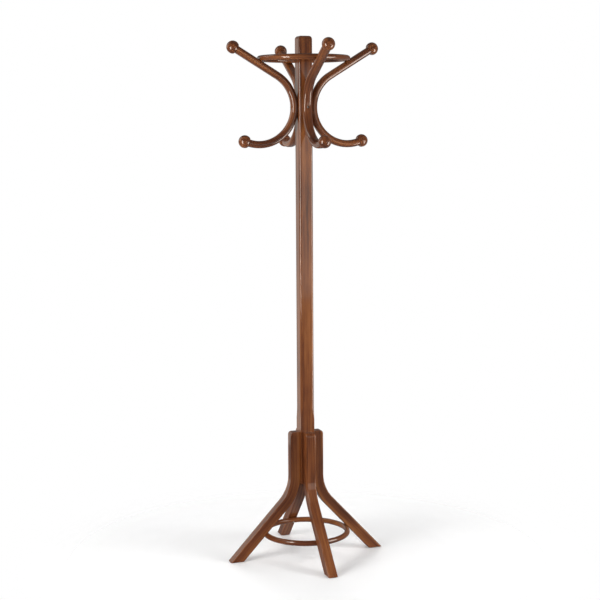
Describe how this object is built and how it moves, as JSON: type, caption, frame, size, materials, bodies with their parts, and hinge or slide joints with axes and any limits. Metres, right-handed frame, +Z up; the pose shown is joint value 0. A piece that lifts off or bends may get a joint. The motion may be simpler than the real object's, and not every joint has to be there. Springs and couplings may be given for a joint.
{
  "type": "standing coat rack",
  "caption": "Free-standing wooden coat rack: square post, bent arms with ball ends, a hat ring, splayed bent legs and an umbrella ring.",
  "frame": {"origin": "on the floor, under the middle of the post", "axes": "+Z up along the post; the four faces of the post, with one arm and one leg each, look along +X, +Y, -X and -Y"},
  "size_m": [0.5702, 0.5702, 1.83],
  "materials": {
    "walnut_lacquer": "gloss lacquer over a reddish walnut stain, lengthwise grain",
    "plain_dowel": "bare beech",
    "screw_steel": "dull zinc-plated steel",
    "foot_glide": "hard dark plastic, fine matt texture"
  },
  "bodies": {
    "root": {"post": "walnut_lacquer", "arm_front": "walnut_lacquer", "arm_right": "walnut_lacquer", "arm_back": "walnut_lacquer", "arm_left": "walnut_lacquer", "upper_ball_front": "walnut_lacquer", "upper_ball_right": "walnut_lacquer", "upper_ball_back": "walnut_lacquer", "upper_ball_left": "walnut_lacquer", "lower_ball_front": "walnut_lacquer", "lower_ball_right": "walnut_lacquer", "lower_ball_back": "walnut_lacquer", "lower_ball_left": "walnut_lacquer", "hat_ring": "walnut_lacquer", "umbrella_ring": "walnut_lacquer", "leg_front": "walnut_lacquer", "leg_right": "walnut_lacquer", "leg_back": "walnut_lacquer", "leg_left": "walnut_lacquer", "arm_screws": "screw_steel", "ball_dowels": "plain_dowel", "leg_dowels": "plain_dowel", "hat_ring_screws": "screw_steel", "umbrella_ring_screws": "screw_steel", "foot_glides": "foot_glide"}
  },
  "joints": []
}
